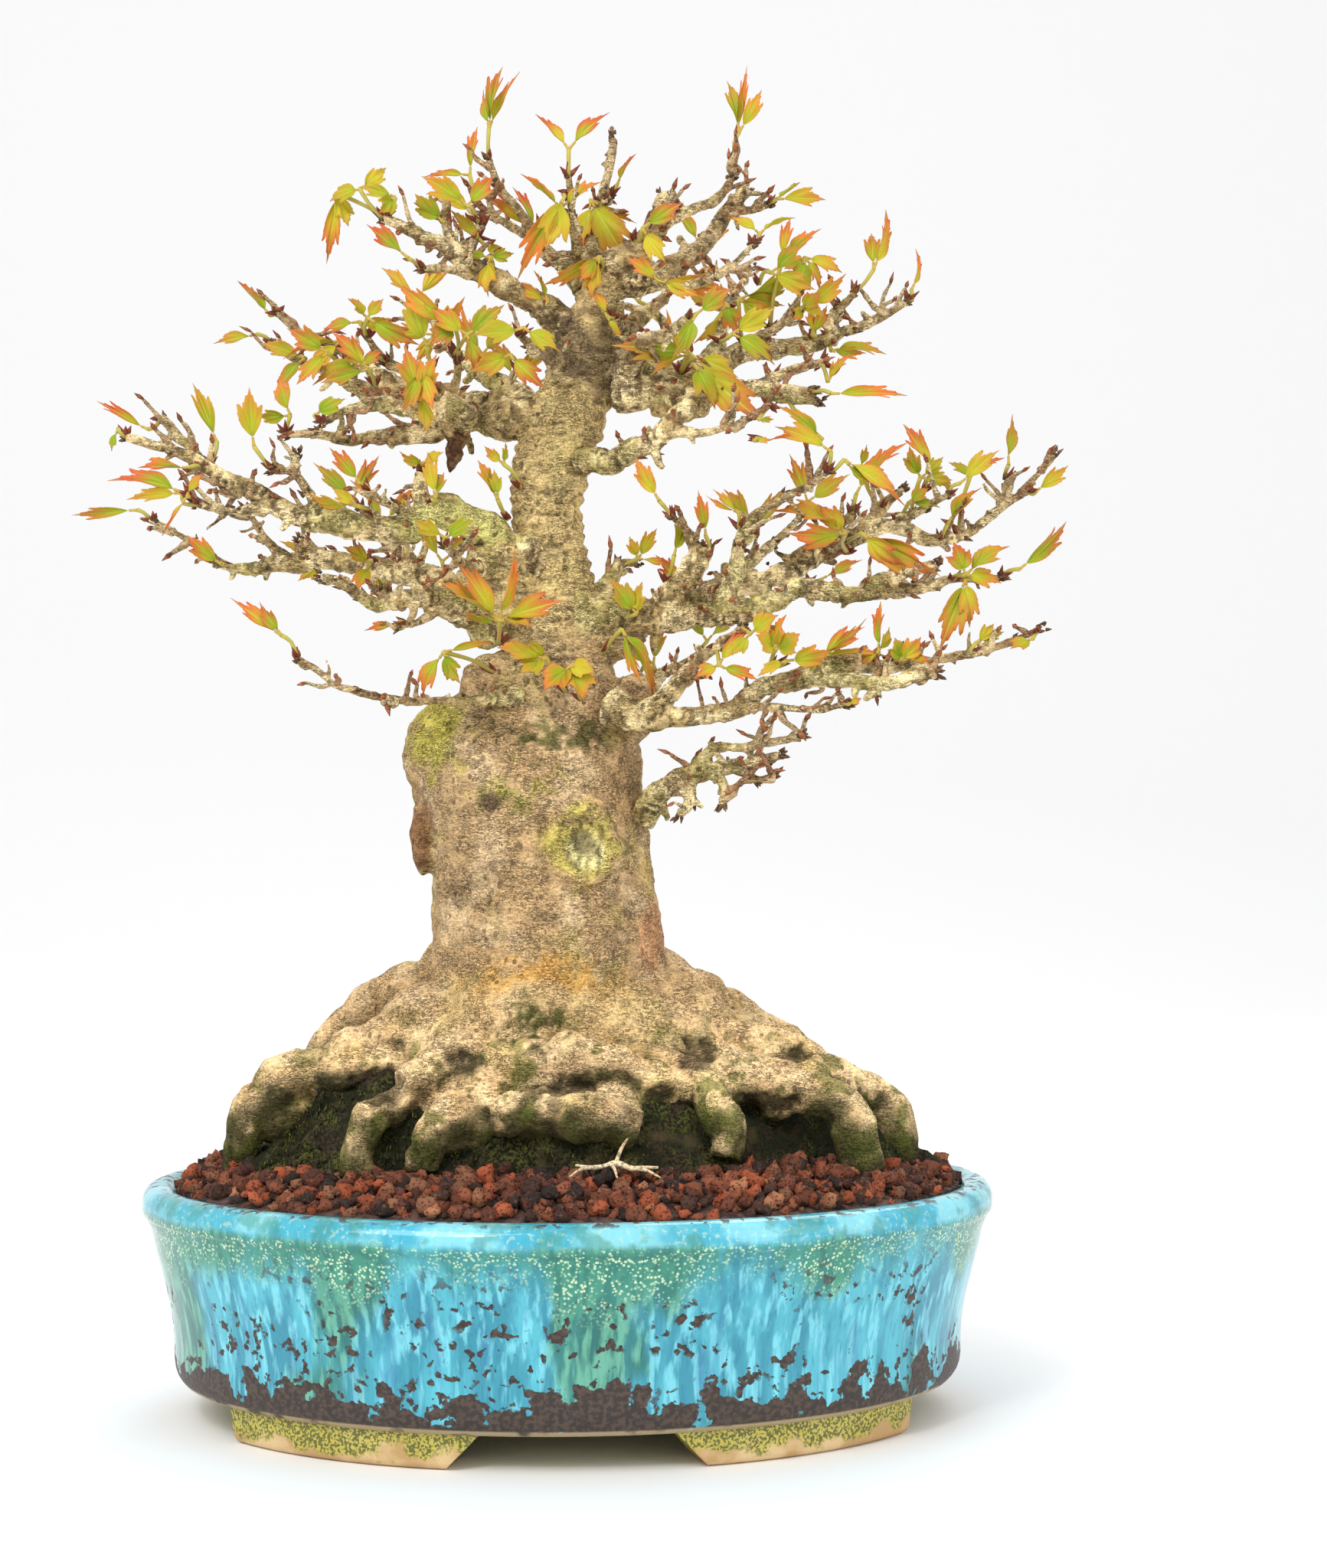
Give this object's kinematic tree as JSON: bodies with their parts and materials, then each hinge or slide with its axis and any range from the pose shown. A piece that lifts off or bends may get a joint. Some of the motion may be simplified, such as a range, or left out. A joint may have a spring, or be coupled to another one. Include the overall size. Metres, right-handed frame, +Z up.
{
  "type": "potted bonsai tree",
  "caption": "Young-leafed maple bonsai with a stout trunk, spreading surface roots and open branch tiers, in an oval glazed pot of lava gravel.",
  "frame": {"origin": "on the table under the middle of the oval pot", "axes": "+Z up, +X along the pot's long side to the right, +Y away from the viewing side"},
  "size_m": [0.2593, 0.17, 0.3425],
  "materials": {
    "turquoise_glaze": "gloss",
    "lava_gravel": "matte",
    "moss": "matte",
    "maple_bark": "matte",
    "pale_root": "matte",
    "dried_leaf": "satin",
    "drainage_plastic": "matte",
    "young_leaf": "satin"
  },
  "bodies": {
    "root": {"pot": "turquoise_glaze", "soil": "lava_gravel", "moss": "moss", "tree_wood": "maple_bark", "loose_rootlet": "pale_root", "dried_leaf": "dried_leaf", "drainage_mesh_left": "drainage_plastic", "drainage_mesh_right": "drainage_plastic", "shoot_01": "young_leaf", "shoot_02": "young_leaf", "shoot_03": "young_leaf", "shoot_04": "young_leaf", "shoot_05": "young_leaf", "shoot_06": "young_leaf", "shoot_07": "young_leaf", "shoot_08": "young_leaf", "shoot_09": "young_leaf", "shoot_10": "young_leaf", "shoot_11": "young_leaf", "shoot_12": "young_leaf", "shoot_13": "young_leaf", "shoot_14": "young_leaf", "shoot_15": "young_leaf", "shoot_16": "young_leaf", "shoot_17": "young_leaf", "shoot_18": "young_leaf", "shoot_19": "young_leaf", "shoot_20": "young_leaf", "shoot_21": "young_leaf", "shoot_22": "young_leaf", "shoot_23": "young_leaf", "shoot_24": "young_leaf", "shoot_25": "young_leaf", "shoot_26": "young_leaf", "shoot_27": "young_leaf", "shoot_28": "young_leaf", "shoot_29": "young_leaf", "shoot_30": "young_leaf", "shoot_31": "young_leaf", "shoot_32": "young_leaf", "shoot_33": "young_leaf", "shoot_34": "young_leaf", "shoot_35": "young_leaf", "shoot_36": "young_leaf", "shoot_37": "young_leaf", "shoot_38": "young_leaf", "shoot_39": "young_leaf", "shoot_40": "young_leaf", "shoot_41": "young_leaf", "shoot_42": "young_leaf", "shoot_43": "young_leaf", "shoot_44": "young_leaf", "shoot_45": "young_leaf", "shoot_46": "young_leaf", "shoot_47": "young_leaf", "shoot_48": "young_leaf"}
  },
  "joints": []
}
